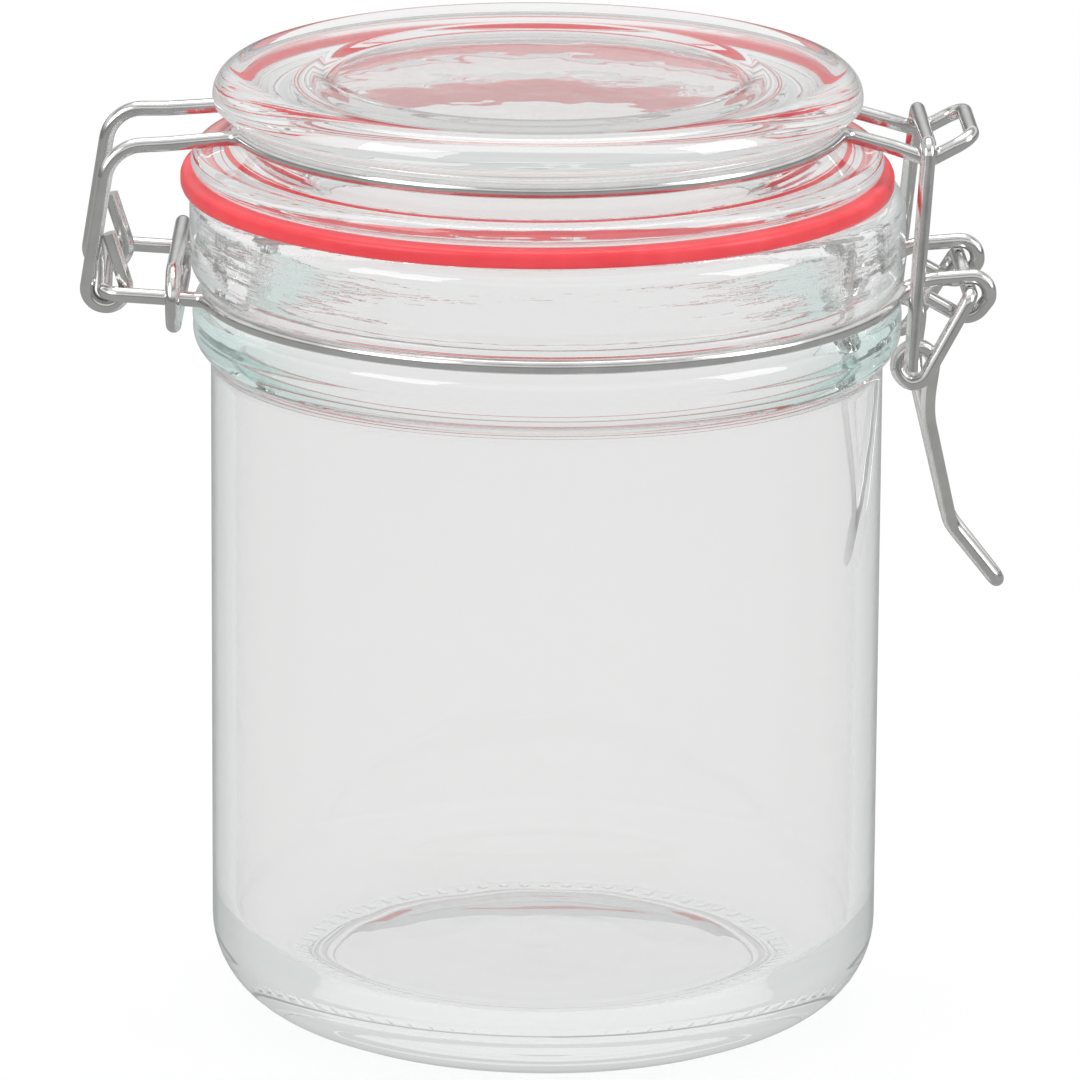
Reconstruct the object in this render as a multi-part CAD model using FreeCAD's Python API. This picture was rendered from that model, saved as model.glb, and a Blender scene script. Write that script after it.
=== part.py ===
import FreeCAD, Part
import math
import os

# Clip-top storage jar: a round glass jar whose glass lid is pressed on a rubber ring by a wire closure.
# Frame: millimetres, +Z up, origin at the centre of the base, hinge towards -X, clasp towards +X.
# Every piece is symmetric about the plane Y = 0, apart from the loose locking ring, which hangs a little askew.

V = FreeCAD.Vector

# ---- jar ----
body_radius = 45.0          # straight part of the jar
wall = 3.2                  # side wall of the straight part
floor_thickness = 6.0       # glass between the foot and the inside
heel_radius = 11.7          # round between the side and the foot
foot_inset = 11.0           # from the side to the middle of the foot ring
foot_width = 5.0
land_width = 0.8            # narrow flat at the inner edge of the foot ring, level with the ribs
recess_inset = 0.9          # from the foot ring to the push-up
recess_height = 2.4         # push-up in the middle of the foot
rib_count = 70              # radial ribs moulded on the foot ring
rib_height = 0.5
rib_round = 0.75
crease_height = 90.8        # where the straight side ends
bead_out = 2.3              # shoulder bead under the neck wire, beyond the side
bead_rise = 4.4             # heights from here on count from the crease
groove_rise = 9.8           # middle of the groove that holds the neck wire
groove_depth = 1.3
neck_rise = 22.5            # top of the jar, where the rubber ring seals
band_out = 2.8              # plain band between the groove and the rim, beyond the side
rim_round = 2.6
mouth_round = 1.5
neck_wall = 7.4             # from the band to the mouth

# ---- lid and rubber ring ----
lid_shift = -1.4            # the closed lid sits this far towards the hinge
ring_inset = 0.2            # rubber ring, inside the band's outline
ring_thickness = 2.4
flange_inset = 1.4          # lid edge, inside the rubber ring's outline
flange_rise = 1.3           # height of the widest place over the seal face
waist_inset = 6.6           # groove that holds the lid wire, inside the lid edge
waist_rise = 6.3            # middle of that groove over the seal face
crown_out = 3.7             # thick rolled edge of the lid, beyond the groove
lid_rise = 13.5             # top of the whole object over the seal face
roll_radius = 3.6           # round of the rolled edge
panel_inset = 15.3          # flat middle panel of the lid, inside the rolled edge
panel_drop = 1.0
spigot_play = 2.0           # between the mouth and the collar that centres the rubber ring
spigot_depth = 0.7          # its reach below the rubber ring
lid_thickness = 6.0

# ---- wires ----
wire = 2.0                  # diameter of every wire
neck_arm_left = 14.2        # half distance of the neck wire's arms on the hinge side
neck_arm_right = 10.0       # the same on the clasp side
pivot_out = 11.2            # hinge axis, the crossbar of the neck wire, beyond the band
pivot_rise = 1.5            # hinge axis over the groove
axle_out = 8.0              # lever axis, held in the two eyes of the neck wire, beyond the band
axle_rise = 0.4             # lever axis over the groove
lid_arm_right = 8.1         # half distance of the lid wire's arms on the clasp side
notch_out = 8.1             # dip in the lid wire that the link sits in, beyond the lid's rolled edge
notch_drop = 3.2            # and below the lid's groove
tab_reach = 6.4             # end bar of the lid wire's tab, beyond the notch
coil_drop = 8.6             # their middle, below the groove
coil_tuck = 0.65            # how far they reach in under the bead
handle_knee = (5.9, 25.0)   # from the coils to the bend where the two handle wires meet, outward and down
handle_tip = (12.5, 33.4)   # from the coils to the handle's tip
handle_knee_half = 2.0      # half distance of the two handle wires at the knee
handle_tip_half = 1.35      # and at the tip

# ---- clearances ----
running = 0.25              # between wires that turn against each other
side_play = 0.3             # sideways, between wires that pass each other
loose = 0.4                 # inside a hook, an eye or a coil
seat = 0.1                  # between a wire and the glass groove that holds it
seal_gap = 0.1              # between the rubber ring and each glass face
coil_gap = 0.15             # between the lever's coils and the jar's shoulder

# ---- places that the pieces share ----
foot_radius = body_radius - foot_inset
recess_radius = foot_radius - foot_width / 2 - recess_inset
bead_radius = body_radius + bead_out
bead_height = crease_height + bead_rise
groove_height = crease_height + groove_rise
band_radius = body_radius + band_out
groove_radius = band_radius - groove_depth
neck_seat_radius = groove_radius + wire / 2 + seat
rim_height = crease_height + neck_rise
mouth_radius = band_radius - neck_wall

ring_bottom = rim_height + seal_gap
ring_top = ring_bottom + ring_thickness
seal_face = ring_top + seal_gap
ring_radius = band_radius - ring_inset
flange_radius = ring_radius - flange_inset
waist_radius = flange_radius - waist_inset
waist_height = seal_face + waist_rise
crown_radius = waist_radius + crown_out
lid_height = seal_face + lid_rise
panel_radius = crown_radius - panel_inset
spigot_radius = mouth_radius - spigot_play

pivot_x = -(band_radius + pivot_out)
pivot_z = groove_height + pivot_rise
axle_x = band_radius + axle_out
axle_z = groove_height + axle_rise
eye_bend = wire + running + loose - 0.05
hook_bend = wire + running + loose
coil_bend = wire + loose
hook_half = neck_arm_left - wire - 1.0
lid_arm_left = hook_half - 1.4
notch_x = lid_shift + crown_radius + notch_out
notch_z = waist_height - notch_drop
tab_x = notch_x + tab_reach
tab_half = lid_arm_right + 0.6
link_half_top = tab_half + wire + loose
axle_half = neck_arm_right + wire + side_play
lever_half = axle_half + wire + side_play
link_half_foot = lever_half + wire
coil_nearest = math.sqrt(bead_radius ** 2 - (lever_half - wire) ** 2)
coil_x = coil_nearest + coil_bend + wire / 2 - coil_tuck + coil_gap
coil_z = groove_height - coil_drop


def unit(v):
    return V(v).normalize()


def bent_wire(corners):
    """Solid round wire along straight runs joined by tangent arcs; a corner is (x, y, z, bend radius)."""
    points = [V(*c[:3]) for c in corners]
    edges = []
    here = points[0]
    for i in range(1, len(points) - 1):
        before = unit(points[i] - points[i - 1])
        after = unit(points[i + 1] - points[i])
        turn = before.getAngle(after)
        bend = corners[i][3]
        reach = bend * math.tan(turn / 2)
        start = points[i] - before * reach
        end = points[i] + after * reach
        middle = points[i] + unit(after - before) * (bend / math.cos(turn / 2) - bend)
        if (start - here).Length > 1e-3:
            edges.append(Part.LineSegment(here, start).toShape())
        edges.append(Part.Arc(start, middle, end).toShape())
        here = end
    edges.append(Part.LineSegment(here, points[-1]).toShape())
    first = unit(points[1] - points[0])
    section = Part.Wire([Part.makeCircle(wire / 2, points[0], first)])
    return Part.Wire(edges).makePipeShell([section], True, False)


def wire_from_half(half):
    """Whole wire from the route of its half at Y < 0. An end that has a bend goes on to its own mirror image."""
    first, last = half[0], half[-1]
    opening = [(first[0], 0, first[2], 0)] if first[3] > 0 else []
    side = bent_wire(opening + half + [(last[0], 0, last[2], 0)])
    return side.fuse(side.mirror(V(0, 0, 0), V(0, 1, 0))).removeSplitter().Solids[0]


def round_corners(centre_x, radius, height, start, end, steps):
    """Corners of a level arc about the jar's axis, between two angles in degrees: its tangents' crossings."""
    step = math.radians(end - start) / steps
    outer = radius / math.cos(step / 2)
    angles = [math.radians(start) + step * (i + 0.5) for i in range(steps)]
    return [(centre_x + outer * math.cos(a), outer * math.sin(a), height, radius * 0.97) for a in angles]


def tangent_crossing(centre_x, radius, angle, y):
    """X where the tangent of a circle at an angle reaches the line at y."""
    a = math.radians(angle)
    along = (y - radius * math.sin(a)) / math.cos(a)
    return centre_x + radius * math.cos(a) - along * math.sin(a)


def arc_points(centre, radius, start, end):
    """Start, middle and end of an arc in the X-Z plane, angles in degrees."""
    angles = [math.radians(a) for a in (start, (start + end) / 2, end)]
    return [V(centre[0] + radius * math.cos(a), 0, centre[1] + radius * math.sin(a)) for a in angles]


def revolved(edges, centre_x=0.0):
    """Solid turned about a vertical axis from a closed outline in the X-Z plane."""
    face = Part.Face(Part.Wire(edges))
    solid = face.revolve(V(0, 0, 0), V(0, 0, 1), 360)
    solid.translate(V(centre_x, 0, 0))
    return solid


def outline(steps):
    """Edges of a closed outline; a step is (x, z) for a line or (x, z, mid_x, mid_z) for an arc to (x, z)."""
    edges = []
    here = V(steps[0][0], 0, steps[0][1])
    for step in steps[1:] + [steps[0][:2]]:
        there = V(step[0], 0, step[1])
        if (there - here).Length < 1e-6:
            continue
        if len(step) == 4:
            edges.append(Part.Arc(here, V(step[2], 0, step[3]), there).toShape())
        else:
            edges.append(Part.LineSegment(here, there).toShape())
        here = there
    return edges


def arc_step(centre, radius, start, end):
    """An arc for outline(), from its end angle and middle."""
    first, middle, last = arc_points(centre, radius, start, end)
    return (last.x, last.z, middle.x, middle.z)


# ---- jar ----
def jar():
    foot_in = foot_radius - foot_width / 2
    foot_out = foot_radius + foot_width / 2
    lift = rib_height
    heel_centre = (body_radius - heel_radius, heel_radius + lift)
    hollow = body_radius - wall
    inner_heel = heel_radius - wall + 1.0
    steps = [
        (0, recess_height + lift + 1.0),
        (recess_radius - 3.0, recess_height + lift, recess_radius / 2, recess_height + lift + 0.75),
        (recess_radius, lift + 0.6, recess_radius - 0.7, recess_height + lift - 0.8),
        (foot_in, 0),
        (foot_in + land_width, 0),
        (foot_in + land_width + lift / 2, lift),
        (foot_out - 0.6, lift),
    ]
    # heel: one round from the foot ring to the side
    start = math.degrees(math.asin((foot_out - heel_centre[0]) / heel_radius)) - 90
    first = arc_points(heel_centre, heel_radius, start, 0)[0]
    steps.append((first.x, first.z))
    steps.append(arc_step(heel_centre, heel_radius, start, 0))
    steps += [
        (body_radius, crease_height),
        (bead_radius, bead_height, body_radius + 1.75, bead_height - 2.9),
        (groove_radius + 0.6, groove_height - 2.6, bead_radius + 0.1, bead_height + 1.7),
        (groove_radius, groove_height + 0.6, groove_radius - 0.25, groove_height - 1.2),
        (band_radius, groove_height + 3.2, band_radius - 0.35, groove_height + 2.0),
        (band_radius, rim_height - rim_round),
        arc_step((band_radius - rim_round, rim_height - rim_round), rim_round, 0, 90),
        (mouth_radius + mouth_round, rim_height),
        arc_step((mouth_radius + mouth_round, rim_height - mouth_round), mouth_round, 90, 180),
        (mouth_radius, groove_height - 3.0),
        (hollow, bead_height - 4.0, mouth_radius + 0.4, bead_height - 1.2),
        (hollow, floor_thickness + inner_heel + lift),
        arc_step((hollow - inner_heel, floor_thickness + inner_heel + lift), inner_heel, 0, -90),
        (0, floor_thickness + lift + 1.2),
    ]
    return revolved(outline(steps)).fuse(foot_ribs()).removeSplitter().Solids[0]


def foot_ribs():
    """Radial ribs under the foot ring, with rounded undersides, that the jar stands on."""
    inner = foot_radius - foot_width / 2 + land_width / 2
    length = foot_width - land_width / 2 - 0.5
    rib = Part.makeCylinder(rib_round, length, V(inner, 0, rib_round), V(1, 0, 0))
    rib = rib.common(Part.makeBox(length, 2 * rib_round, rib_height + 0.2, V(inner, -rib_round, 0)))
    ribs = []
    for i in range(rib_count):
        copy = rib.copy()
        copy.rotate(V(0, 0, 0), V(0, 0, 1), 360.0 * i / rib_count)
        ribs.append(copy)
    return ribs


# ---- lid and rubber ring ----
def lid():
    flange_height = seal_face + flange_rise
    roll_x = crown_radius - roll_radius
    waist_round = wire / 2 + seat
    under = lid_height - lid_thickness
    steps = [
        (0, lid_height - panel_drop),
        (panel_radius, lid_height - panel_drop),
        (panel_radius + 0.6, lid_height - panel_drop + 0.5),
        (roll_x - 1.5, lid_height - 0.1),
        (roll_x, lid_height, roll_x - 0.75, lid_height - 0.02),
        arc_step((roll_x, lid_height - roll_radius), roll_radius, 90, -10),
        (waist_radius + 0.35, waist_height + waist_round, waist_radius + 1.9, waist_height + waist_round + 0.5),
        (waist_radius + 0.35, waist_height - waist_round, waist_radius, waist_height),
        (flange_radius - 1.6, flange_height + 1.5, waist_radius + 1.4, waist_height - 2.3),
        (flange_radius, flange_height, flange_radius - 0.35, flange_height + 0.9),
        (flange_radius - 0.9, seal_face, flange_radius - 0.2, seal_face + 0.45),
        (spigot_radius, seal_face),
        (spigot_radius - 0.3, ring_bottom - spigot_depth),
        (spigot_radius - 3.8, ring_bottom - spigot_depth, spigot_radius - 2.0, ring_bottom - spigot_depth - 0.5),
        (spigot_radius - 5.5, under - 3.0),
        (spigot_radius - 9.0, under, spigot_radius - 6.4, under - 0.9),
        (0, under),
    ]
    return revolved(outline(steps), lid_shift)


def gasket():
    inner = spigot_radius + 0.2
    blank = Part.makeCylinder(ring_radius, ring_thickness, V(lid_shift, 0, ring_bottom))
    hole = Part.makeCylinder(inner, ring_thickness, V(lid_shift, 0, ring_bottom))
    ring = blank.cut(hole)
    rims = [e for e in ring.Edges if e.BoundBox.XLength > 1.9 * ring_radius]
    return ring.makeFillet(ring_thickness * 0.3, rims).Solids[0]


# ---- wires ----
def neck_wire():
    right_x = tangent_crossing(0, neck_seat_radius, -17, -neck_arm_right) + 0.3
    left_x = tangent_crossing(0, neck_seat_radius, -158, -neck_arm_left) - 0.3
    eye_z = axle_z - 0.3
    top = eye_z + eye_bend
    half = [
        (axle_x - 5.6, -neck_arm_right, eye_z - 0.45, 0),
        (axle_x + 0.2, -neck_arm_right, eye_z - eye_bend - 1.15, eye_bend * 0.98),
        (axle_x + eye_bend, -neck_arm_right, eye_z - 0.6, eye_bend * 0.5),
        (axle_x + eye_bend, -neck_arm_right, top, eye_bend * 0.9),
        (right_x + 3.5, -neck_arm_right, top - 0.6, 8.0),
        (right_x, -neck_arm_right, groove_height + 0.8, 2.0),
    ]
    half += round_corners(0, neck_seat_radius, groove_height, -17, -158, 10)
    half += [
        (left_x, -neck_arm_left, groove_height + 0.6, 2.0),
        (left_x - 4.5, -neck_arm_left, pivot_z - 0.6, 8.0),
        (pivot_x, -neck_arm_left, pivot_z, 2.2),
    ]
    return wire_from_half(half)


def locking_ring():
    """Closed oval of wire around both arms of the neck wire."""
    bend = wire + 1.75
    end = neck_arm_left + wire + loose + 0.05 - bend
    x = -(band_radius + wire / 2 + 0.5)
    z = groove_height + 0.7
    skew = -2.5
    edges = [
        Part.LineSegment(V(x, -end, z + bend), V(x, end, z + bend)).toShape(),
        Part.Arc(V(x, end, z + bend), V(x, end + bend, z), V(x, end, z - bend)).toShape(),
        Part.LineSegment(V(x, end, z - bend), V(x, -end, z - bend)).toShape(),
        Part.Arc(V(x, -end, z - bend), V(x, -end - bend, z), V(x, -end, z + bend)).toShape(),
    ]
    section = Part.Wire([Part.makeCircle(wire / 2, V(x, -end, z + bend), V(0, 1, 0))])
    ring = Part.Wire(edges).makePipeShell([section], True, False)
    ring.rotate(V(x, 0, z), V(0, 0, 1), skew)
    return ring


def lid_wire():
    seat_radius = waist_radius + wire / 2 + seat
    right_x = tangent_crossing(lid_shift, seat_radius, -17, -lid_arm_right)
    left_x = tangent_crossing(lid_shift, seat_radius, -160, -lid_arm_left)
    hook_x = pivot_x + 0.15
    hook_z = pivot_z + 0.3
    half = [
        (pivot_x + 0.6, -hook_half, pivot_z + 7.5, 0),
        (hook_x + hook_bend + 0.2, -hook_half, hook_z - 0.4, hook_bend * 0.9),
        (hook_x + hook_bend - 1.4, -hook_half, hook_z - hook_bend - 0.25, hook_bend * 0.9),
        (hook_x - hook_bend - 0.15, -hook_half, hook_z - hook_bend + 0.35, hook_bend * 0.9),
        (pivot_x + 0.75, -hook_half, waist_height - 0.9, 5.0),
        (lid_shift - crown_radius - 5.8, -lid_arm_left - 0.6, waist_height - 0.7, 20.0),
        (left_x, -lid_arm_left, waist_height, 2.4),
    ]
    half += round_corners(lid_shift, seat_radius, waist_height, -160, -17, 10)
    half += [
        (right_x, -lid_arm_right, waist_height, 2.4),
        (notch_x - 4.5, -lid_arm_right, notch_z + 1.3, 6.0),
        (notch_x + 0.3, -lid_arm_right - 0.6, notch_z - 0.25, 1.6),
        (tab_x - 0.4, -tab_half, notch_z + 2.8, 2.6),
    ]
    return wire_from_half(half)


def link():
    """Wire bail that hooks over the notch of the lid wire and reaches down to the lever's coils."""
    bar_z = notch_z + wire + running
    half = [
        (coil_x - 0.9, -link_half_foot, coil_z - 0.2, 0),
        (notch_x, -link_half_top, bar_z, 1.6),
    ]
    return wire_from_half(half)


def lever():
    """Handle wire: an axle through the eyes, two legs, a coil at each, and a narrow handle."""
    turns = 8
    pitch = wire + running / 2
    leg = V(coil_x - axle_x, 0, coil_z - axle_z)
    inset = math.degrees(math.asin(coil_bend / leg.Length))
    first = math.degrees(math.atan2(leg.z, leg.x)) + 90 - inset
    outer = coil_bend / math.cos(math.pi / turns)
    half = [(axle_x, -axle_half, axle_z, 1.4)]
    for i in range(turns):
        turned = (i + 0.5) / turns
        a = math.radians(first - 360.0 * turned)
        y = -lever_half + pitch * turned
        half.append((coil_x + outer * math.cos(a), y, coil_z + outer * math.sin(a), coil_bend * 0.9))
    half += [
        (coil_x + 1.6, -lever_half + pitch + 0.3, coil_z - 6.5, 12.0),
        (coil_x + handle_knee[0], -handle_knee_half, coil_z - handle_knee[1], 4.5),
        (coil_x + handle_tip[0], -handle_tip_half, coil_z - handle_tip[1], handle_tip_half * 0.98),
    ]
    return wire_from_half(half)


NODES = {
    "jar": jar,
    "neck_wire": neck_wire,
    "locking_ring": locking_ring,
    "lid": lid,
    "gasket": gasket,
    "lid_wire": lid_wire,
    "link": link,
    "lever": lever,
}


def main():
    os.makedirs("parts", exist_ok=True)
    for name, make in NODES.items():
        shape = make()
        shape.exportStep("parts/" + name + ".step")
        print(name, shape.ShapeType, shape.isValid(), round(shape.Volume, 1))


main()
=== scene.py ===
import math

import bpy
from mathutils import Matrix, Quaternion, Vector


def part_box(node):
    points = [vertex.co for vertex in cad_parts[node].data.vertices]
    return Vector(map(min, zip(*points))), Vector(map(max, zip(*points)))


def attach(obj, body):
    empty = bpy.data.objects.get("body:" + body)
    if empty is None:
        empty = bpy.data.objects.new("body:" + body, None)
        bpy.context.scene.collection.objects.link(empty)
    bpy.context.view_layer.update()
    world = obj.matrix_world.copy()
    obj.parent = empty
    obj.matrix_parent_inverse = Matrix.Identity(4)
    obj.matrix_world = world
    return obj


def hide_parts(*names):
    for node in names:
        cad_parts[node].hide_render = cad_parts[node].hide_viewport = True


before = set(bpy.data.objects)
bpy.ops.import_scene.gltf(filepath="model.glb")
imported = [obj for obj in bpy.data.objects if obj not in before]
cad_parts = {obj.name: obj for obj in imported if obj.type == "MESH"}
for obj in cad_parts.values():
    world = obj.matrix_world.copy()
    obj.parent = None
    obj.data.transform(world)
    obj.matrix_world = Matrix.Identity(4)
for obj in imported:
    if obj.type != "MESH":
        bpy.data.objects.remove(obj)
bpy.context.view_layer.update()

# Clip-top storage jar in clear glass. Lengths in this file are metres, made from millimetres with MM.
MM = 0.001

_, jar_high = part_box("jar")
lid_low, lid_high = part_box("lid")
ring_low, ring_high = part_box("gasket")

LID_X = (lid_low.x + lid_high.x) / 2
SEAL_LOW = ring_low.z
SEAL_HIGH = ring_high.z
SEAL_R = ring_high.y
SEAL_X = (ring_low.x + ring_high.x) / 2

# gap over the ring and how far the lid presses into it where they touch, in millimetres
SEAL_GAP = 0.1
SEAL_PRESS = 0.01

# glass sizes in millimetres; the outermost and topmost come from the solids
BAND_R = jar_high.y / MM
RIM_Z = jar_high.z / MM
LID_Z = lid_high.z / MM
FLANGE_R = lid_high.y / MM
SEAL_FACE = SEAL_HIGH / MM + SEAL_GAP
SEAL_TOUCH = SEAL_HIGH / MM - SEAL_PRESS
BODY_R = 45.0
WALL = 3.2
HEEL_R = 11.7
FOOT_R = 34.0
FOOT_W = 5.0
LAND_W = 0.8
RIB_COUNT = 70
RIB_RISE = 0.5
RIB_ROUND = 0.75
RIB_GAP = 0.2
RIB_FADE_R = 33.4  # outside this radius the ribs rise, by RIB_FADE for each millimetre
RIB_FADE = 0.15
RECESS_R = 30.6
RECESS_RISE = 2.4
FLOOR = 6.0
CREASE_Z = 90.8
BEAD_R = 47.3
BEAD_Z = 95.2
GROOVE_Z = 100.6
GROOVE_R = 46.5
RIM_ROUND = 2.6
MOUTH_R = 40.4
MOUTH_ROUND = 1.5
WAIST_R = 39.6
WAIST_Z = 122.2
CROWN_R = 43.3
ROLL_R = 3.6
PANEL_R = 28.0
PANEL_DROP = 1.0
LID_THICK = 6.0
SPIGOT_R = 38.4
SPIGOT_DROP = 0.7
RING_PLAY = 0.2

# lathe and outline resolution
SEGMENTS = 280
RIB_SEGMENTS = 3  # times SEGMENTS, under the foot
JAR_STEP = 2.0 * MM
LID_STEP = 1.5 * MM
ARC_STEP = math.radians(6)
ON_AXIS = 1e-7
SAME_POINT = 1e-6


# ---------------------------------------------------------------- outlines and meshes
def thinned(points, longest):
    """The outline with long runs divided, so that the mesh has even faces."""
    out = [points[0]]
    for p in points[1:]:
        run = p - out[-1]
        if run.length < SAME_POINT:
            continue
        parts = max(1, math.ceil(run.length / longest))
        base = out[-1]
        out += [base + run * (k + 1) / parts for k in range(parts)]
    return out


def lathe(name, outline, centre_x, closed=False, fine=None):
    """Mesh turned about a vertical axis. An open outline starts and ends on the axis.

    fine is (test, times, shape): rows that pass the test get that many times the segments,
    and shape moves their points.
    """
    verts = []
    faces = []
    rows = []
    for p in outline:
        if p.x < ON_AXIS:
            rows.append([len(verts)])
            verts.append(Vector((0, 0, p.y)))
            continue
        dense = fine is not None and fine[0](p)
        count = SEGMENTS * (fine[1] if dense else 1)
        rows.append(list(range(len(verts), len(verts) + count)))
        for k in range(count):
            a = 2 * math.pi * k / count
            z = fine[2](p, a) if dense else p.y
            verts.append(Vector((p.x * math.cos(a), p.x * math.sin(a), z)))
    pairs = list(zip(rows, rows[1:]))
    if closed:
        pairs.append((rows[-1], rows[0]))
    for low, high in pairs:
        n_low, n_high = len(low), len(high)
        if n_low == 1:
            faces += [(low[0], high[(k + 1) % n_high], high[k]) for k in range(n_high)]
        elif n_high == 1:
            faces += [(low[k], low[(k + 1) % n_low], high[0]) for k in range(n_low)]
        elif n_low == n_high:
            faces += [(low[k], low[(k + 1) % n_low], high[(k + 1) % n_low], high[k])
                      for k in range(n_low)]
        elif n_low < n_high:
            times = n_high // n_low
            for k in range(n_low):
                rim = [high[(k * times + m) % n_high] for m in range(times, -1, -1)]
                faces.append((low[k], low[(k + 1) % n_low], *rim))
        else:
            times = n_low // n_high
            for k in range(n_high):
                rim = [low[(k * times + m) % n_low] for m in range(times + 1)]
                faces.append((*rim, high[(k + 1) % n_high], high[k]))
    loop = outline + outline[:1]
    area = sum(a.x * b.y - b.x * a.y for a, b in zip(loop, loop[1:]))
    if area < 0:
        faces = [face[::-1] for face in faces]
    mesh = bpy.data.meshes.new(name)
    mesh.from_pydata([(v.x + centre_x, v.y, v.z) for v in verts], [], faces)
    mesh.shade_smooth()
    mesh.update()
    obj = bpy.data.objects.new(name, mesh)
    bpy.context.scene.collection.objects.link(obj)
    return obj


# ---------------------------------------------------------------- materials
# how many bounces light makes in the glass, and how many mirrored ones, before it counts as spent and
# the glass shows a painted glow instead
LONG_WAY = 9.5
MOST_MIRRORED = 3.5
SPENT_PAINTED_GLOW = (0.76, 0.775, 0.768, 1)
# how far a face of the bead turns away where its painted green shade starts and where it is full
GREEN_FROM, GREEN_FULL = 0.12, 0.62
HALF_TURNED = 0.45


def nodes_of(name):
    mat = bpy.data.materials.new(name)
    mat.use_nodes = True
    tree = mat.node_tree
    tree.nodes.clear()
    return mat, tree


def add(tree, kind, **values):
    node = tree.nodes.new(kind)
    for key, value in values.items():
        if key in node.inputs:
            node.inputs[key].default_value = value
        else:
            setattr(node, key, value)
    return node


def noise(tree, scale, detail=3.0, stretch=(1, 1, 1)):
    place = add(tree, "ShaderNodeTexCoord")
    mapping = add(tree, "ShaderNodeMapping", Scale=stretch)
    tree.links.new(place.outputs["Object"], mapping.inputs["Vector"])
    tex = add(tree, "ShaderNodeTexNoise", Scale=scale, Detail=detail)
    tree.links.new(mapping.outputs["Vector"], tex.inputs["Vector"])
    return tex


def ramp(tree, source, stops):
    node = add(tree, "ShaderNodeValToRGB")
    elements = node.color_ramp.elements
    while len(elements) < len(stops):
        elements.new(0.5)
    for element, (place, colour) in zip(elements, stops):
        element.position = place
        element.color = (*colour, 1)
    tree.links.new(source, node.inputs["Fac"])
    return node


def bump(tree, height, strength, distance):
    node = add(tree, "ShaderNodeBump", Strength=strength, Distance=distance)
    tree.links.new(height, node.inputs["Height"])
    return node


def band_mask(tree, height, low, high, soft=1.5):
    """1 between two heights in millimetres, fading inside them."""
    ends = []
    for start, full in ((low, low + soft), (high, high - soft)):
        edge = add(tree, "ShaderNodeMapRange", interpolation_type="SMOOTHSTEP")
        tree.links.new(height, edge.inputs["Value"])
        edge.inputs["From Min"].default_value = start * MM
        edge.inputs["From Max"].default_value = full * MM
        ends.append(edge.outputs[0])
    both = add(tree, "ShaderNodeMath", operation="MULTIPLY")
    tree.links.new(ends[0], both.inputs[0])
    tree.links.new(ends[1], both.inputs[1])
    return both.outputs[0]


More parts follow.
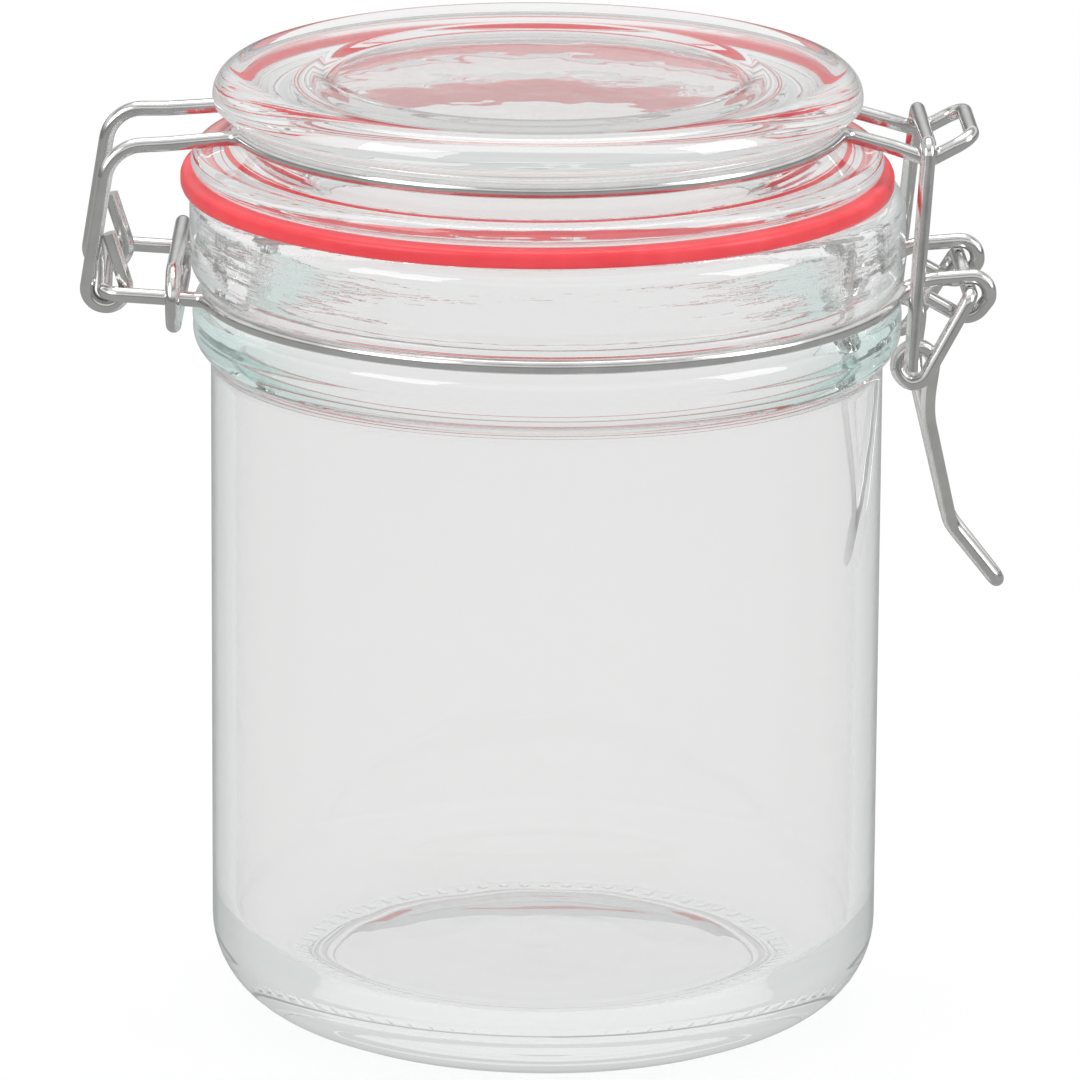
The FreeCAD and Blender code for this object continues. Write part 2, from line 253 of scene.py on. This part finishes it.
def clear_glass(name, painted_edge_shade, depth, bands, rim=None, hollow=None):
    """Clear soda glass. The stops of painted edge shade are (facing, colour) for upright faces,
    darkening the glass's own grey as a face turns away; level faces keep the first colour.

    depth: colour and density of the light that is lost inside the glass.
    bands: where finer marks lie. rim: (low, high, colour) of a thick bead: the glass's own green,
    painted darker at its sides as shade for the longer way light takes through it.
    hollow: radius in millimetres inside which faces keep the painted edge shade of a face half turned
    away.
    """
    mat, tree = nodes_of(name)
    shader = add(tree, "ShaderNodeBsdfPrincipled", Roughness=0.0, IOR=1.5)
    shader.inputs["Transmission Weight"].default_value = 1.0
    facing = add(tree, "ShaderNodeLayerWeight", Blend=0.5)
    place = add(tree, "ShaderNodeTexCoord")
    turned = facing.outputs["Facing"]
    # inside the hollow the painted edge shade stays at that of a face half turned away
    if hollow:
        flat = add(tree, "ShaderNodeVectorMath", operation="MULTIPLY")
        tree.links.new(place.outputs["Object"], flat.inputs[0])
        flat.inputs[1].default_value = (1, 1, 0)
        radius = add(tree, "ShaderNodeVectorMath", operation="LENGTH")
        tree.links.new(flat.outputs[0], radius.inputs[0])
        most = add(tree, "ShaderNodeMapRange")
        tree.links.new(radius.outputs["Value"], most.inputs["Value"])
        most.inputs["From Min"].default_value = hollow * MM
        most.inputs["From Max"].default_value = (hollow + 0.2) * MM
        most.inputs["To Min"].default_value = HALF_TURNED
        least = add(tree, "ShaderNodeMath", operation="MINIMUM")
        tree.links.new(turned, least.inputs[0])
        tree.links.new(most.outputs[0], least.inputs[1])
        turned = least.outputs[0]
    # painted edge shade: the glass's grey darkens as a face turns away from the view
    edge_shade_colour = ramp(tree, turned, painted_edge_shade)
    surface = add(tree, "ShaderNodeNewGeometry")
    tilt = add(tree, "ShaderNodeSeparateXYZ")
    tree.links.new(surface.outputs["Normal"], tilt.inputs[0])
    level = add(tree, "ShaderNodeMath", operation="ABSOLUTE")
    tree.links.new(tilt.outputs["Z"], level.inputs[0])
    edge_shaded_glass = add(tree, "ShaderNodeMix", data_type="RGBA")
    tree.links.new(level.outputs[0], edge_shaded_glass.inputs["Factor"])
    tree.links.new(edge_shade_colour.outputs["Color"], edge_shaded_glass.inputs["A"])
    edge_shaded_glass.inputs["B"].default_value = (*painted_edge_shade[0][1], 1)
    height = add(tree, "ShaderNodeSeparateXYZ")
    tree.links.new(place.outputs["Object"], height.inputs[0])
    colour = edge_shaded_glass.outputs["Result"]
    # the bead's sides: the glass's green, painted darker as shade the further a face turns away
    if rim:
        sides = add(tree, "ShaderNodeMapRange", interpolation_type="SMOOTHSTEP")
        tree.links.new(facing.outputs["Facing"], sides.inputs["Value"])
        sides.inputs["From Min"].default_value = GREEN_FROM
        sides.inputs["From Max"].default_value = GREEN_FULL
        part = add(tree, "ShaderNodeMath", operation="MULTIPLY")
        tree.links.new(sides.outputs[0], part.inputs[0])
        tree.links.new(band_mask(tree, height.outputs["Z"], rim[0], rim[1]), part.inputs[1])
        green = add(tree, "ShaderNodeMix", data_type="RGBA")
        tree.links.new(part.outputs[0], green.inputs["Factor"])
        tree.links.new(colour, green.inputs["A"])
        green.inputs["B"].default_value = (*rim[2], 1)
        colour = green.outputs["Result"]
    tree.links.new(colour, shader.inputs["Base Color"])
    # the slow waves of moulded glass, and finer marks in the bands where the mould halves
    # and the rim tool met
    waves = noise(tree, 38.0, 2.0, (1, 1, 2.2))
    last = bump(tree, waves.outputs["Fac"], 0.12, 0.0006)
    for low, high, scale, stretch, strength, reach in bands:
        marks = noise(tree, scale, 3.0, stretch)
        masked = add(tree, "ShaderNodeMath", operation="MULTIPLY")
        tree.links.new(marks.outputs["Fac"], masked.inputs[0])
        tree.links.new(band_mask(tree, height.outputs["Z"], low, high), masked.inputs[1])
        finer = bump(tree, masked.outputs[0], strength, reach)
        tree.links.new(last.outputs["Normal"], finer.inputs["Normal"])
        last = finer
    tree.links.new(last.outputs["Normal"], shader.inputs["Normal"])
    path = add(tree, "ShaderNodeLightPath")
    # where light has bounced about in the glass many times, the glass itself glows an even pale grey, a
    # little green: a painted glow, not a lamp
    long_way = add(tree, "ShaderNodeMath", operation="GREATER_THAN")
    tree.links.new(path.outputs["Ray Depth"], long_way.inputs[0])
    long_way.inputs[1].default_value = LONG_WAY
    mirrored = add(tree, "ShaderNodeMath", operation="GREATER_THAN")
    tree.links.new(path.outputs["Glossy Depth"], mirrored.inputs[0])
    mirrored.inputs[1].default_value = MOST_MIRRORED
    spent = add(tree, "ShaderNodeMath", operation="MAXIMUM")
    tree.links.new(long_way.outputs[0], spent.inputs[0])
    tree.links.new(mirrored.outputs[0], spent.inputs[1])
    # the painted glow of the glass on spent paths
    glow = add(tree, "ShaderNodeEmission", Color=SPENT_PAINTED_GLOW, Strength=1.0)
    painted_glow_mix = add(tree, "ShaderNodeMixShader")
    tree.links.new(spent.outputs[0], painted_glow_mix.inputs["Fac"])
    tree.links.new(shader.outputs[0], painted_glow_mix.inputs[1])
    tree.links.new(glow.outputs[0], painted_glow_mix.inputs[2])
    clear = add(tree, "ShaderNodeBsdfTransparent", Color=(0.93, 0.95, 0.945, 1))
    unseen = add(tree, "ShaderNodeMath", operation="MAXIMUM")
    tree.links.new(path.outputs["Is Shadow Ray"], unseen.inputs[0])
    tree.links.new(path.outputs["Is Diffuse Ray"], unseen.inputs[1])
    mix = add(tree, "ShaderNodeMixShader")
    tree.links.new(unseen.outputs[0], mix.inputs["Fac"])
    tree.links.new(painted_glow_mix.outputs[0], mix.inputs[1])
    tree.links.new(clear.outputs[0], mix.inputs[2])
    out = add(tree, "ShaderNodeOutputMaterial")
    tree.links.new(mix.outputs[0], out.inputs["Surface"])
    lost = add(tree, "ShaderNodeVolumeAbsorption", Color=(*depth[0], 1), Density=depth[1])
    tree.links.new(lost.outputs[0], out.inputs["Volume"])
    return mat


def red_rubber():
    mat, tree = nodes_of("red_rubber")
    shader = add(tree, "ShaderNodeBsdfPrincipled", Roughness=0.38, IOR=1.5)
    shader.inputs["Subsurface Weight"].default_value = 0.35
    shader.inputs["Subsurface Radius"].default_value = (0.004, 0.0008, 0.0006)
    shader.inputs["Subsurface Scale"].default_value = 1.0
    cloud = noise(tree, 160.0, 4.0)
    colour = ramp(tree, cloud.outputs["Fac"],
                  [(0.3, (0.72, 0.045, 0.060)), (0.7, (0.81, 0.070, 0.085))])
    tree.links.new(colour.outputs["Color"], shader.inputs["Base Color"])
    grain = noise(tree, 1400.0, 2.0)
    rough = bump(tree, grain.outputs["Fac"], 0.25, 0.00008)
    tree.links.new(rough.outputs["Normal"], shader.inputs["Normal"])
    out = add(tree, "ShaderNodeOutputMaterial")
    tree.links.new(shader.outputs[0], out.inputs["Surface"])
    return mat


def drawn_wire():
    mat, tree = nodes_of("drawn_wire")
    shader = add(tree, "ShaderNodeBsdfPrincipled", Metallic=1.0)
    cloud = noise(tree, 260.0, 4.0)
    colour = ramp(tree, cloud.outputs["Fac"],
                  [(0.3, (0.64, 0.64, 0.63)), (0.7, (0.74, 0.74, 0.73))])
    tree.links.new(colour.outputs["Color"], shader.inputs["Base Color"])
    worn = noise(tree, 300.0, 5.0)
    sheen = ramp(tree, worn.outputs["Fac"],
                 [(0.3, (0.13, 0.13, 0.13)), (0.75, (0.24, 0.24, 0.24))])
    tree.links.new(sheen.outputs["Color"], shader.inputs["Roughness"])
    grain = noise(tree, 1500.0, 3.0)
    rough = bump(tree, grain.outputs["Fac"], 0.10, 0.00003)
    tree.links.new(rough.outputs["Normal"], shader.inputs["Normal"])
    out = add(tree, "ShaderNodeOutputMaterial")
    tree.links.new(shader.outputs[0], out.inputs["Surface"])
    return mat


# ---------------------------------------------------------------- glass pieces
# colour of the glass by how far a face turns away: its own pale grey where it faces the view, then
# painted edge shade, darker the further it turns
JAR_PAINTED_EDGE_SHADE = [(0.0, (0.890, 0.890, 0.888)), (0.30, (0.884, 0.884, 0.882)),
              (0.485, (0.868, 0.870, 0.865)), (0.58, (0.81, 0.815, 0.81)),
              (0.66, (0.70, 0.71, 0.705)), (0.80, (0.56, 0.60, 0.59)),
              (0.88, (0.27, 0.31, 0.30)), (1.0, (0.12, 0.15, 0.145))]
LID_PAINTED_EDGE_SHADE = [(0.0, (0.90, 0.888, 0.888)), (0.7, (0.87, 0.86, 0.86)), (1.0, (0.78, 0.785, 0.78))]
# low, high (mm), noise scale, stretch, strength, depth of marks
JAR_MARKS = [(102.5, 113.0, 55.0, (1, 1, 12), 0.16, 0.0008),
             (104.5, 110.5, 900.0, (1, 1, 0.6), 0.30, 0.00010)]
LID_MARKS = [(112.0, 124.5, 50.0, (1, 1, 6), 0.15, 0.0008)]
# colour and density inside the glass
JAR_DEPTH = ((0.80, 0.885, 0.87), 3.0)
LID_DEPTH = ((0.84, 0.90, 0.885), 4.0)
# low, high (mm) and colour of the shoulder bead's sides: the glass's own green, painted darker there as
# shade for the longer way light takes through the thick bead
BEAD_GREEN_PAINTED_SHADE = (91.0, 99.5, (0.50, 0.70, 0.66))


def arc_through(start, middle, end):
    """Points of the arc from start through middle to end, without its start."""
    ax, ay, bx, by, cx, cy = *start, *middle, *end
    d = 2 * (ax * (by - cy) + bx * (cy - ay) + cx * (ay - by))
    aa, bb, cc = ax * ax + ay * ay, bx * bx + by * by, cx * cx + cy * cy
    ux = (aa * (by - cy) + bb * (cy - ay) + cc * (ay - by)) / d
    uy = (aa * (cx - bx) + bb * (ax - cx) + cc * (bx - ax)) / d
    first, mid, last = (math.atan2(p[1] - uy, p[0] - ux) for p in (start, middle, end))
    turn = (last - first) % (2 * math.pi)
    if (mid - first) % (2 * math.pi) > turn:
        turn -= 2 * math.pi
    radius = math.hypot(ax - ux, ay - uy)
    count = max(2, math.ceil(abs(turn) / ARC_STEP))
    return [Vector((ux + radius * math.cos(first + turn * k / count),
                    uy + radius * math.sin(first + turn * k / count))) for k in range(1, count + 1)]


def outline(steps):
    """Points of an outline in metres from steps in millimetres.

    A step is (x, z), or (x, z, mid_x, mid_z) for an arc.
    """
    points = [Vector(steps[0][:2])]
    for step in steps[1:]:
        if len(step) == 4:
            points += arc_through(points[-1], Vector(step[2:]), Vector(step[:2]))
        else:
            points.append(Vector(step))
    return [p * MM for p in points]


def round_step(centre, radius, start, end):
    """An arc step for outline() about a centre, between two angles in degrees."""
    middle, last = (math.radians(a) for a in ((start + end) / 2, end))
    return (centre[0] + radius * math.cos(last), centre[1] + radius * math.sin(last),
            centre[0] + radius * math.cos(middle), centre[1] + radius * math.sin(middle))


def jar_outline():
    foot_in = FOOT_R - FOOT_W / 2
    foot_out = FOOT_R + FOOT_W / 2
    lift = RIB_RISE
    heel = (BODY_R - HEEL_R, HEEL_R + lift)
    start = math.degrees(math.asin((foot_out - heel[0]) / HEEL_R)) - 90
    turned = math.radians(start)
    first = (heel[0] + HEEL_R * math.cos(turned), heel[1] + HEEL_R * math.sin(turned))
    hollow = BODY_R - WALL
    inner = HEEL_R - WALL + 1.0
    steps = [
        (0, RECESS_RISE + lift + 1.0),
        (RECESS_R - 3.0, RECESS_RISE + lift, RECESS_R / 2, RECESS_RISE + lift + 0.75),
        (RECESS_R, lift + 0.6, RECESS_R - 0.7, RECESS_RISE + lift - 0.8),
        (foot_in, 0),
        (foot_in + LAND_W, 0),
        (foot_in + LAND_W + lift / 2, lift),
        *[(foot_in + LAND_W + lift / 2 + run, lift) for run in (0.4, 1.2, 2.0, 2.8)],
        (foot_out - 0.8, lift),
        first,
        round_step(heel, HEEL_R, start, 0),
        (BODY_R, CREASE_Z),
        (BEAD_R, BEAD_Z, BODY_R + 1.75, BEAD_Z - 2.9),
        (GROOVE_R + 0.6, GROOVE_Z - 2.6, BEAD_R + 0.1, BEAD_Z + 1.7),
        (GROOVE_R, GROOVE_Z + 0.6, GROOVE_R - 0.25, GROOVE_Z - 1.2),
        (BAND_R, GROOVE_Z + 3.2, BAND_R - 0.35, GROOVE_Z + 2.0),
        (BAND_R, RIM_Z - RIM_ROUND),
        round_step((BAND_R - RIM_ROUND, RIM_Z - RIM_ROUND), RIM_ROUND, 0, 90),
        (MOUTH_R + MOUTH_ROUND, RIM_Z),
        round_step((MOUTH_R + MOUTH_ROUND, RIM_Z - MOUTH_ROUND), MOUTH_ROUND, 90, 180),
        (MOUTH_R, GROOVE_Z - 3.0),
        (hollow, BEAD_Z - 4.0, MOUTH_R + 0.4, BEAD_Z - 1.2),
        (hollow, FLOOR + inner + lift),
        round_step((hollow - inner, FLOOR + inner + lift), inner, 0, -90),
        (0, FLOOR + lift + 1.2),
    ]
    return thinned(outline(steps), JAR_STEP)


def lid_outline():
    flange_z = SEAL_FACE + 1.3
    roll_x = CROWN_R - ROLL_R
    plug = SEAL_LOW / MM - SPIGOT_DROP
    under = LID_Z - LID_THICK
    steps = [
        (0, LID_Z - PANEL_DROP),
        (PANEL_R, LID_Z - PANEL_DROP),
        (PANEL_R + 0.6, LID_Z - PANEL_DROP + 0.5),
        (roll_x - 1.5, LID_Z - 0.1),
        (roll_x, LID_Z, roll_x - 0.75, LID_Z - 0.02),
        round_step((roll_x, LID_Z - ROLL_R), ROLL_R, 90, -10),
        (WAIST_R + 0.35, WAIST_Z + 1.1, WAIST_R + 1.9, WAIST_Z + 1.6),
        (WAIST_R + 0.35, WAIST_Z - 1.1, WAIST_R, WAIST_Z),
        (FLANGE_R - 1.6, flange_z + 1.5, WAIST_R + 1.4, WAIST_Z - 2.3),
        (FLANGE_R, flange_z, FLANGE_R - 0.35, flange_z + 0.9),
        (FLANGE_R - 0.9, SEAL_FACE, FLANGE_R - 0.2, SEAL_FACE + 0.45),
        (40.8, SEAL_FACE),
        (40.4, SEAL_TOUCH),
        (SPIGOT_R, SEAL_TOUCH),
        (SPIGOT_R - 0.3, plug),
        (SPIGOT_R - 3.8, plug, SPIGOT_R - 2.0, plug - 0.5),
        (SPIGOT_R - 5.5, under - 3.0),
        (SPIGOT_R - 9.0, under, SPIGOT_R - 6.4, under - 0.9),
        (0, under),
    ]
    return thinned(outline(steps), LID_STEP)


def gasket_outline():
    inner = (SPIGOT_R + RING_PLAY) * MM
    return [Vector(p) for p in (
        (inner, SEAL_LOW + 0.5 * MM), (inner + 0.5 * MM, SEAL_LOW),
        (SEAL_R - 0.7 * MM, SEAL_LOW), (SEAL_R - 0.2 * MM, SEAL_LOW + 0.2 * MM),
        (SEAL_R, SEAL_LOW + 0.7 * MM), (SEAL_R, SEAL_HIGH - 0.7 * MM),
        (SEAL_R - 0.2 * MM, SEAL_HIGH - 0.2 * MM), (SEAL_R - 0.7 * MM, SEAL_HIGH),
        (inner + 0.5 * MM, SEAL_HIGH),
        (inner, SEAL_HIGH - 0.5 * MM))]


def is_ribbed(point):
    """Whether a point of the jar's outline lies under the foot, where the ribs are."""
    r, z = point.x / MM, point.y / MM
    inside = FOOT_R - FOOT_W / 2 + LAND_W + 0.5
    outside = FOOT_R + FOOT_W / 2 - 0.65
    return z < RIB_RISE + 0.01 and inside < r < outside


def rib_surface(point, angle):
    """Height of the ribbed foot: round ribs that reach nearly to the table and fade outward."""
    pitch = 2 * math.pi / RIB_COUNT
    across = ((angle + pitch / 2) % pitch - pitch / 2) * point.x / MM
    if abs(across) >= RIB_ROUND:
        return point.y
    under = RIB_ROUND - math.sqrt(RIB_ROUND ** 2 - across ** 2)
    fade = max(0.0, point.x / MM - RIB_FADE_R) * RIB_FADE
    return min(point.y, (RIB_GAP + under + fade) * MM)


jar = lathe("jar_glass", jar_outline(), 0.0, fine=(is_ribbed, RIB_SEGMENTS, rib_surface))
jar.data.materials.append(clear_glass("jar_glass", JAR_PAINTED_EDGE_SHADE, JAR_DEPTH, JAR_MARKS, BEAD_GREEN_PAINTED_SHADE,
                                      BODY_R - WALL + 1.0))
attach(jar, "jar")
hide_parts("jar")

lid = lathe("lid_glass", lid_outline(), LID_X)
lid.data.materials.append(clear_glass("lid_glass", LID_PAINTED_EDGE_SHADE, LID_DEPTH, LID_MARKS))
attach(lid, "lid")
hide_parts("lid")

gasket = lathe("gasket_ring", gasket_outline(), SEAL_X, closed=True)
gasket.data.materials.append(red_rubber())
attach(gasket, "lid")
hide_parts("gasket")

steel = drawn_wire()
for name in ("neck_wire", "locking_ring", "lid_wire", "link", "lever"):
    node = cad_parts[name]
    node.data.materials.clear()
    node.data.materials.append(steel)


# ---------------------------------------------------------------- stage, light and camera
# brightness of the room in the wires, by how far up it lies
MIRRORED_BY_HEIGHT = [(place, (grey, grey, grey)) for place, grey in (
    (0.0, 0.20), (0.12, 0.28), (0.26, 0.85), (0.45, 1.0), (0.62, 0.28), (0.85, 1.0), (1.0, 1.0))]
MIRRORED_TABLE = 0.42
TABLE_GLOW = 0.75
SHADOW_R = (0.15, 0.6)
HALF_TABLE = 2.5
ROOM_LIGHT = 0.62


def stage_floor():
    mat, tree = nodes_of("stage_white")
    matt = add(tree, "ShaderNodeBsdfDiffuse", Color=(0.86, 0.86, 0.86, 1))
    glow = add(tree, "ShaderNodeEmission", Color=(1, 1, 1, 1), Strength=1.0)
    mix = add(tree, "ShaderNodeMixShader")
    # far from the jar, where no shadow falls, the table runs out into the white of the studio
    place = add(tree, "ShaderNodeTexCoord")
    far = add(tree, "ShaderNodeVectorMath", operation="LENGTH")
    tree.links.new(place.outputs["Object"], far.inputs[0])
    even = add(tree, "ShaderNodeMapRange", interpolation_type="SMOOTHSTEP")
    tree.links.new(far.outputs["Value"], even.inputs["Value"])
    even.inputs["From Min"].default_value = SHADOW_R[0]
    even.inputs["From Max"].default_value = SHADOW_R[1]
    even.inputs["To Min"].default_value = TABLE_GLOW
    tree.links.new(even.outputs[0], mix.inputs["Fac"])
    tree.links.new(matt.outputs[0], mix.inputs[1])
    tree.links.new(glow.outputs[0], mix.inputs[2])
    # mirrored in glass and wire the table is dimmer, as its far side is in the studio
    dim = add(tree, "ShaderNodeEmission", Color=(1, 1, 1, 1), Strength=MIRRORED_TABLE)
    path = add(tree, "ShaderNodeLightPath")
    only = add(tree, "ShaderNodeMath", operation="SUBTRACT", use_clamp=True)
    tree.links.new(path.outputs["Is Glossy Ray"], only.inputs[0])
    tree.links.new(path.outputs["Is Transmission Ray"], only.inputs[1])
    last = add(tree, "ShaderNodeMixShader")
    tree.links.new(only.outputs[0], last.inputs["Fac"])
    tree.links.new(mix.outputs[0], last.inputs[1])
    tree.links.new(dim.outputs[0], last.inputs[2])
    out = add(tree, "ShaderNodeOutputMaterial")
    tree.links.new(last.outputs[0], out.inputs["Surface"])
    mesh = bpy.data.meshes.new("stage_floor")
    half = HALF_TABLE
    corners = [(-half, -half, 0), (half, -half, 0), (half, half, 0), (-half, half, 0)]
    mesh.from_pydata(corners, [], [(0, 1, 2, 3)])
    mesh.materials.append(mat)
    floor = bpy.data.objects.new("stage_floor", mesh)
    bpy.context.scene.collection.objects.link(floor)


def studio_world():
    """White to the camera and through glass, and a soft room with dim sides in mirrored light."""
    world = bpy.data.worlds.new("studio")
    bpy.context.scene.world = world
    world.use_nodes = True
    tree = world.node_tree
    tree.nodes.clear()
    path = add(tree, "ShaderNodeLightPath")
    white = add(tree, "ShaderNodeBackground", Color=(1, 1, 1, 1), Strength=1.0)
    room = add(tree, "ShaderNodeBackground", Color=(1, 1, 1, 1), Strength=ROOM_LIGHT)
    mirrored = add(tree, "ShaderNodeBackground", Strength=1.0)
    seen = add(tree, "ShaderNodeMath", operation="MAXIMUM")
    tree.links.new(path.outputs["Is Camera Ray"], seen.inputs[0])
    tree.links.new(path.outputs["Is Transmission Ray"], seen.inputs[1])
    first = add(tree, "ShaderNodeMixShader")
    tree.links.new(path.outputs["Is Glossy Ray"], first.inputs["Fac"])
    tree.links.new(room.outputs[0], first.inputs[1])
    tree.links.new(mirrored.outputs[0], first.inputs[2])
    last = add(tree, "ShaderNodeMixShader")
    tree.links.new(seen.outputs[0], last.inputs["Fac"])
    tree.links.new(first.outputs[0], last.inputs[1])
    tree.links.new(white.outputs[0], last.inputs[2])
    out = add(tree, "ShaderNodeOutputWorld")
    tree.links.new(last.outputs[0], out.inputs["Surface"])
    place = add(tree, "ShaderNodeTexCoord")
    split = add(tree, "ShaderNodeSeparateXYZ")
    tree.links.new(place.outputs["Generated"], split.inputs[0])
    high = ramp(tree, split.outputs["Z"], MIRRORED_BY_HEIGHT)
    tree.links.new(high.outputs["Color"], mirrored.inputs["Color"])


def soft_box(name, place, target, size, power):
    lamp = bpy.data.lights.new(name, "AREA")
    lamp.shape = "RECTANGLE"
    lamp.size, lamp.size_y = size
    lamp.energy = power
    obj = bpy.data.objects.new(name, lamp)
    obj.location = place
    obj.rotation_euler = (Vector(target) - Vector(place)).to_track_quat("-Z", "Y").to_euler()
    bpy.context.scene.collection.objects.link(obj)
    obj.visible_transmission = False


LENS = 316.1
VIEW_ANGLES = (2.04, 15.637, 0.362)  # turn, tilt and roll in degrees
VIEW_PLACE = (1.23065, 0.4086, 0.000756)  # distance, height and sideways shift in metres


def camera():
    cam = bpy.data.cameras.new("camera")
    cam.lens = LENS
    cam.sensor_width = 36.0
    cam.clip_start = 0.05
    cam.clip_end = 20.0
    turn, tilt, roll = (math.radians(a) for a in VIEW_ANGLES)
    distance, height, aside = VIEW_PLACE
    obj = bpy.data.objects.new("camera", cam)
    obj.location = (-aside * math.cos(turn) - distance * math.sin(turn),
                    aside * math.sin(turn) - distance * math.cos(turn), height)
    ahead = Vector((math.sin(turn) * math.cos(tilt), math.cos(turn) * math.cos(tilt),
                    -math.sin(tilt)))
    obj.rotation_mode = "QUATERNION"
    obj.rotation_quaternion = ahead.to_track_quat("-Z", "Y") @ Quaternion((0, 0, 1), roll)
    bpy.context.scene.collection.objects.link(obj)
    bpy.context.scene.camera = obj


stage_floor()
studio_world()
middle = (0, 0, 0.07)
soft_box("soft_box_left", (-0.9, -0.7, 0.7), middle, (0.7, 0.7), 6.0)
soft_box("soft_box_right", (1.0, -0.4, 0.6), middle, (0.5, 0.8), 5.0)
soft_box("soft_box_top", (0.0, 0.3, 1.3), middle, (0.9, 0.9), 8.0)
camera()
bpy.context.scene.view_settings.view_transform = "Standard"
